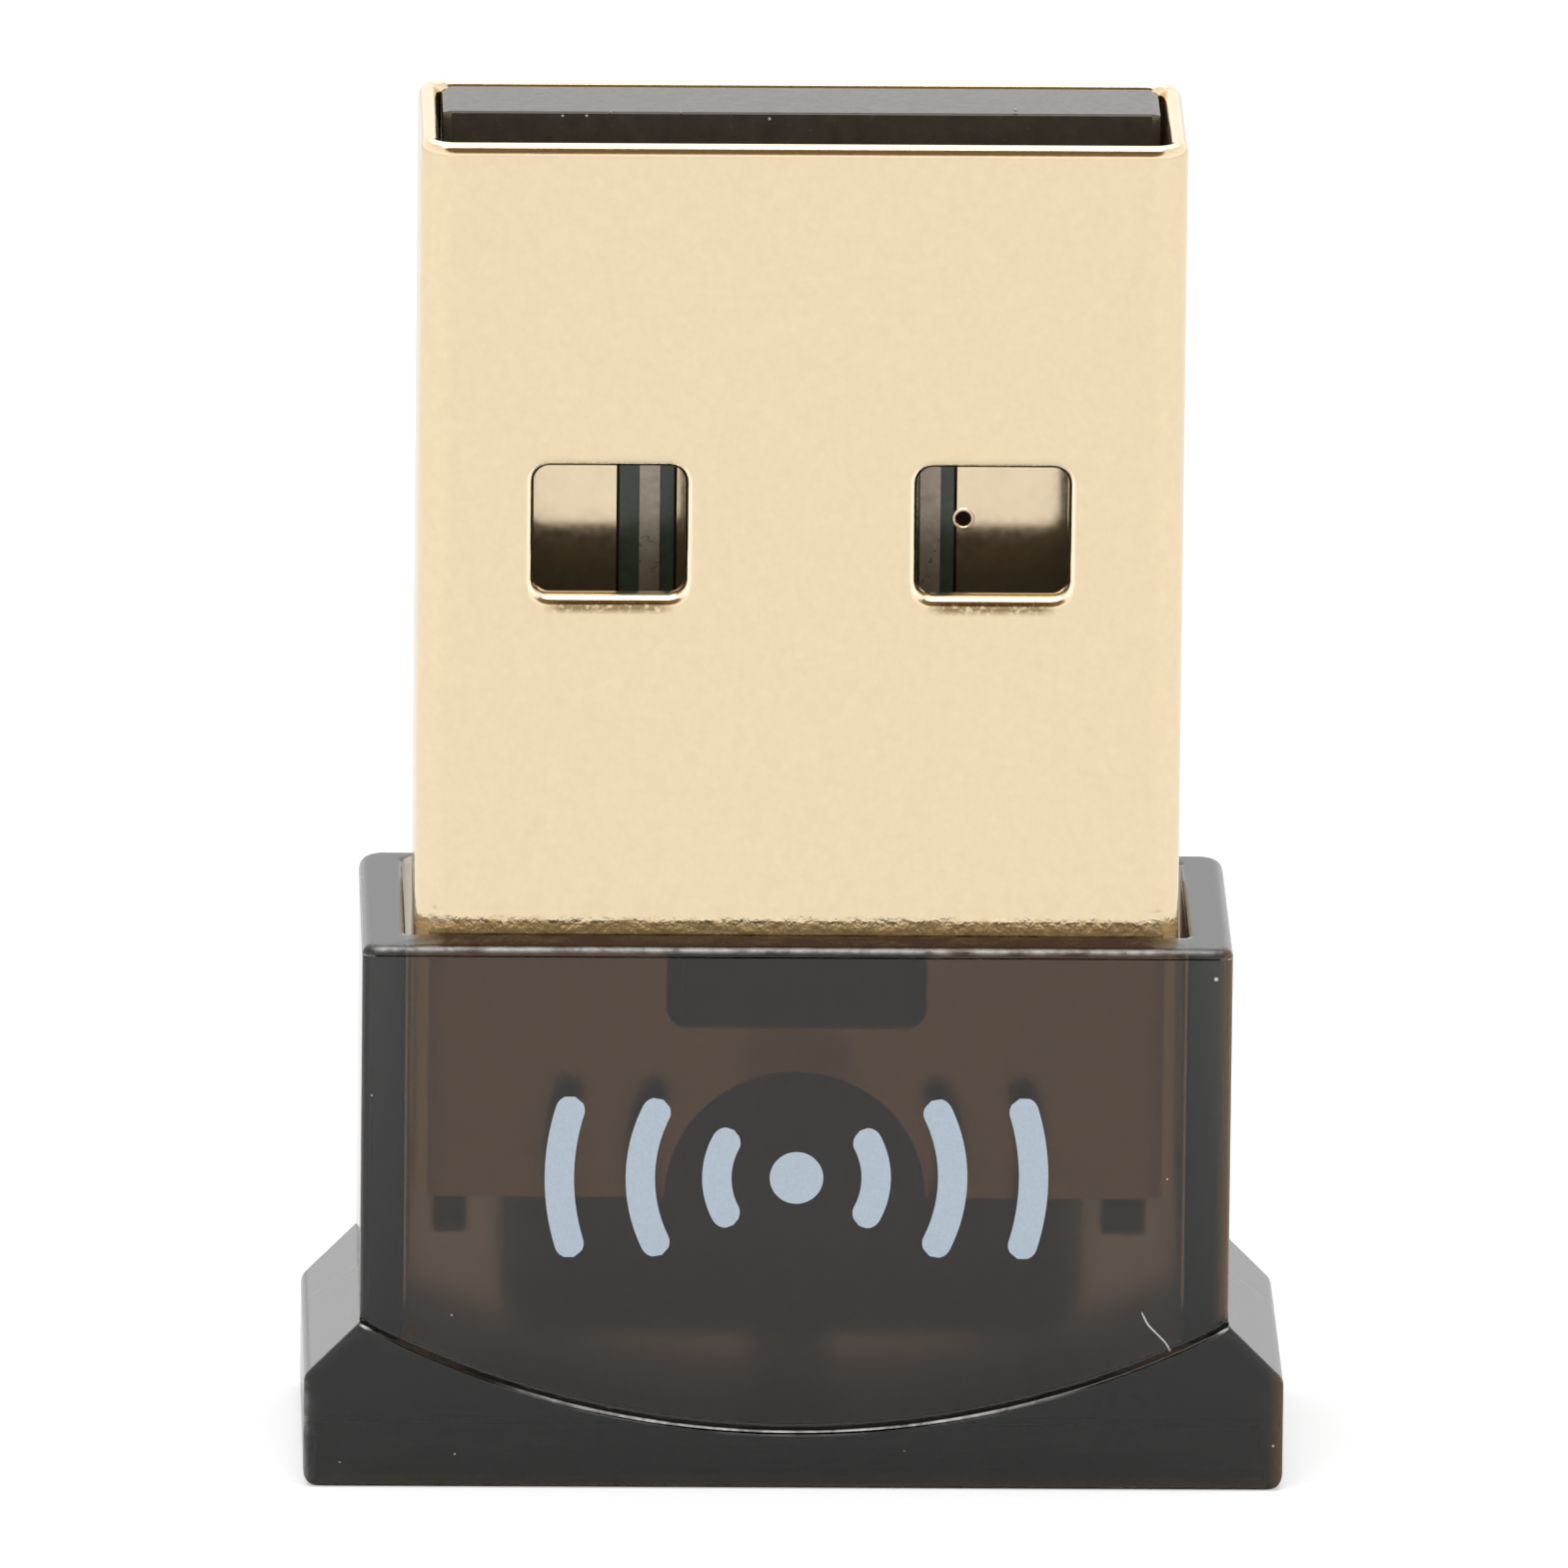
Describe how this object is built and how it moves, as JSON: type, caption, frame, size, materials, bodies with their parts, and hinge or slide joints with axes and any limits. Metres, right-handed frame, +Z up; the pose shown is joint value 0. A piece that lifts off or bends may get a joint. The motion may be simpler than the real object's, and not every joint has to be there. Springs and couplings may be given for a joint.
{
  "type": "wireless usb adapter",
  "caption": "Very small wireless adapter for a USB port: gold-plated plug on a smoke-coloured clear housing with a flat panel, an arched ledge and two sloped grip ears.",
  "frame": {"origin": "centre of the footprint, on the surface that the adapter stands on", "axes": "+Z up along the plug towards its mouth, X across the wide faces, the flat panel, the arched ledge and the windows over the contacts face -Y"},
  "size_m": [0.0154, 0.006, 0.0214],
  "materials": {
    "smoke_plastic": "glossy, smoke-coloured and clear enough to show the plug behind it",
    "gold_plate": "pale gold plating, satin",
    "black_plastic": "satin",
    "board_green": "green solder mask",
    "pad_gold": "bright gold plating",
    "trace_copper": "copper under solder mask",
    "chip_black": "moulded package",
    "solder_tin": "tinned",
    "ceramic_white": "ceramic",
    "lid_metal": "plated lid",
    "capacitor_tan": "ceramic with tinned ends",
    "resistor_black": "film on ceramic",
    "inductor_blue": "ceramic",
    "lens_clear": "clear resin"
  },
  "bodies": {
    "root": {"housing": "smoke_plastic", "connector_shell": "gold_plate", "connector_core": "black_plastic", "circuit_board": "board_green", "contact_pads": "pad_gold", "signal_traces": "trace_copper", "plated_via": "pad_gold", "radio_chip": "chip_black", "chip_terminals": "solder_tin", "crystal_base": "ceramic_white", "crystal_lid": "lid_metal", "regulator_body": "chip_black", "regulator_leads": "solder_tin", "memory_chip": "chip_black", "capacitors": "capacitor_tan", "resistors": "resistor_black", "rf_inductors": "inductor_blue", "antenna_trace": "trace_copper", "led_base": "ceramic_white", "led_lens": "lens_clear"}
  },
  "joints": []
}
